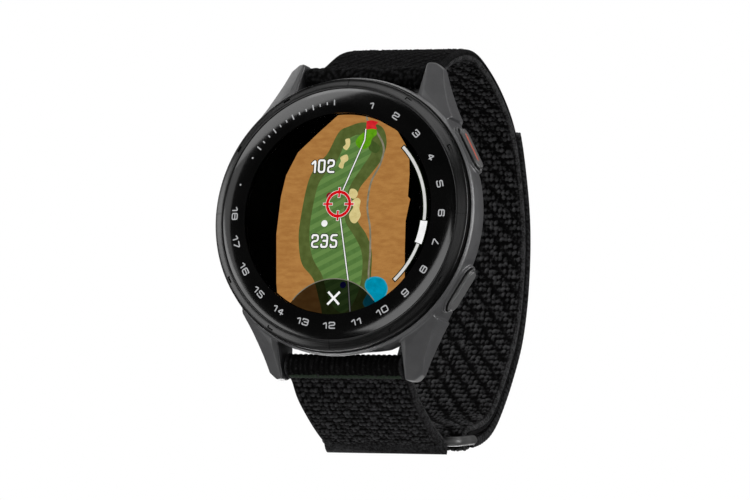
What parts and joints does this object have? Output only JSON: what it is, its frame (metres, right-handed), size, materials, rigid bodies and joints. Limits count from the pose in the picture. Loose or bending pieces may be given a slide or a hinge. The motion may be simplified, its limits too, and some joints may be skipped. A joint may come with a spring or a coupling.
{
  "type": "golf gps watch",
  "caption": "Round golf GPS watch on a closed knitted strap: dial of hole numbers, course map on screen, side buttons, quick-release bars and a ring buckle.",
  "frame": {"origin": "the wrist's axis, at the middle of the strap's loop, level with the centre of the dial", "axes": "+Z towards 12 o'clock, -Y out of the dial towards the reader, +X towards 3 o'clock and the buttons; X is the wrist's axis"},
  "size_m": [0.0426, 0.0524, 0.0621],
  "materials": {
    "case_polymer": "fine matte fibre-reinforced polymer",
    "bezel_metal": "satin black anodised metal",
    "glass": "clear, polished, with a rounded edge",
    "seal_rubber": "matt black rubber",
    "dial_black": "black print under the glass with light grey numbers",
    "display": "lit screen",
    "frame_plastic": "moulded",
    "flex_circuit": "amber film",
    "antenna_metal": "plated",
    "circuit_board": "solder mask",
    "shield_metal": "tin plated",
    "battery_foil": "foil pouch",
    "motor_metal": "nickel plated",
    "led_lens": "clear green",
    "sensor_glass": "dark polished window",
    "rear_polymer": "smooth satin polymer",
    "screw_steel": "dark plated",
    "pin_gold": "gold plated",
    "button_metal": "bead-blasted dark grey",
    "accent_orange": "red-orange inlay",
    "spring_steel": "bright",
    "switch_plastic": "moulded",
    "bar_steel": "satin",
    "strap_knit": "chunky black knit with smooth bound edges",
    "hook_tape": "hook tape",
    "ring_metal": "dark grey bead-blasted metal"
  },
  "bodies": {
    "watch_case": {"mid_case": "case_polymer", "bezel": "bezel_metal", "lens": "glass", "lens_gasket": "seal_rubber", "dial_ring": "dial_black", "display_panel": "display", "display_frame": "frame_plastic", "display_flex": "flex_circuit", "antenna_ring": "antenna_metal", "main_board": "circuit_board", "board_shields": "shield_metal", "battery": "battery_foil", "vibration_motor": "motor_metal", "sensor_board": "circuit_board", "sensor_leds": "led_lens", "sensor_window": "sensor_glass", "rear_cover": "rear_polymer", "rear_gasket": "seal_rubber", "rear_screws": "screw_steel", "charge_socket": "frame_plastic", "charge_pins": "pin_gold", "upper_button_spring": "spring_steel", "upper_button_switch": "switch_plastic", "lower_button_spring": "spring_steel", "lower_button_switch": "switch_plastic"},
    "upper_button_body": {"upper_button": "button_metal", "upper_button_accent": "accent_orange", "upper_button_seal": "seal_rubber", "upper_button_clip": "spring_steel"},
    "lower_button_body": {"lower_button": "button_metal", "lower_button_seal": "seal_rubber", "lower_button_clip": "spring_steel"},
    "long_strap_body": {"strap_long": "strap_knit", "upper_bar_tube": "bar_steel", "upper_bar_tip": "bar_steel", "upper_bar_spring": "spring_steel"},
    "upper_release_body": {"upper_release_pin": "bar_steel"},
    "tail_body": {"strap_tail": "strap_knit", "hook_pad": "hook_tape"},
    "short_strap_body": {"strap_short": "strap_knit", "lower_bar_tube": "bar_steel", "lower_bar_tip": "bar_steel", "lower_bar_spring": "spring_steel"},
    "lower_release_body": {"lower_release_pin": "bar_steel"},
    "ring_body": {"strap_ring": "ring_metal"}
  },
  "joints": [
    {"name": "upper_button_press", "type": "slide", "parent": "watch_case", "child": "upper_button_body", "axis": [-0.866, 0, -0.5], "range_m": [0, 0.0004], "stiffness_N_per_m": 1200, "springref_m": -0.0006},
    {"name": "lower_button_press", "type": "slide", "parent": "watch_case", "child": "lower_button_body", "axis": [-0.866, 0, 0.5], "range_m": [0, 0.0004], "stiffness_N_per_m": 1200, "springref_m": -0.0006},
    {"name": "strap_swing", "type": "hinge", "parent": "watch_case", "child": "long_strap_body", "pos_m": [0, -0.0224, 0.022], "axis": [1, 0, 0], "range_deg": [-1.5, 1.5]},
    {"name": "lower_strap_swing", "type": "hinge", "parent": "watch_case", "child": "short_strap_body", "pos_m": [0, -0.0224, -0.022], "axis": [1, 0, 0], "range_deg": [-7.2, 7.2]},
    {"name": "ring_swing", "type": "hinge", "parent": "short_strap_body", "child": "ring_body", "pos_m": [0, -0.0054, -0.0309], "axis": [1, 0, 0], "range_deg": [-18, 18]},
    {"name": "tail_peel", "type": "hinge", "parent": "long_strap_body", "child": "tail_body", "pos_m": [0, 0.0023, -0.0295], "axis": [-1, 0, 0], "range_deg": [0, 60]},
    {"name": "upper_release", "type": "slide", "parent": "long_strap_body", "child": "upper_release_body", "axis": [-1, 0, 0], "range_m": [0, 0.0012], "stiffness_N_per_m": 500, "springref_m": -0.001},
    {"name": "lower_release", "type": "slide", "parent": "short_strap_body", "child": "lower_release_body", "axis": [-1, 0, 0], "range_m": [0, 0.0012], "stiffness_N_per_m": 500, "springref_m": -0.001}
  ],
  "couplings": [
    {"joint": "lower_strap_swing", "follows": "strap_swing", "ratio": 4.6694},
    {"joint": "ring_swing", "follows": "strap_swing", "ratio": -11.771}
  ]
}
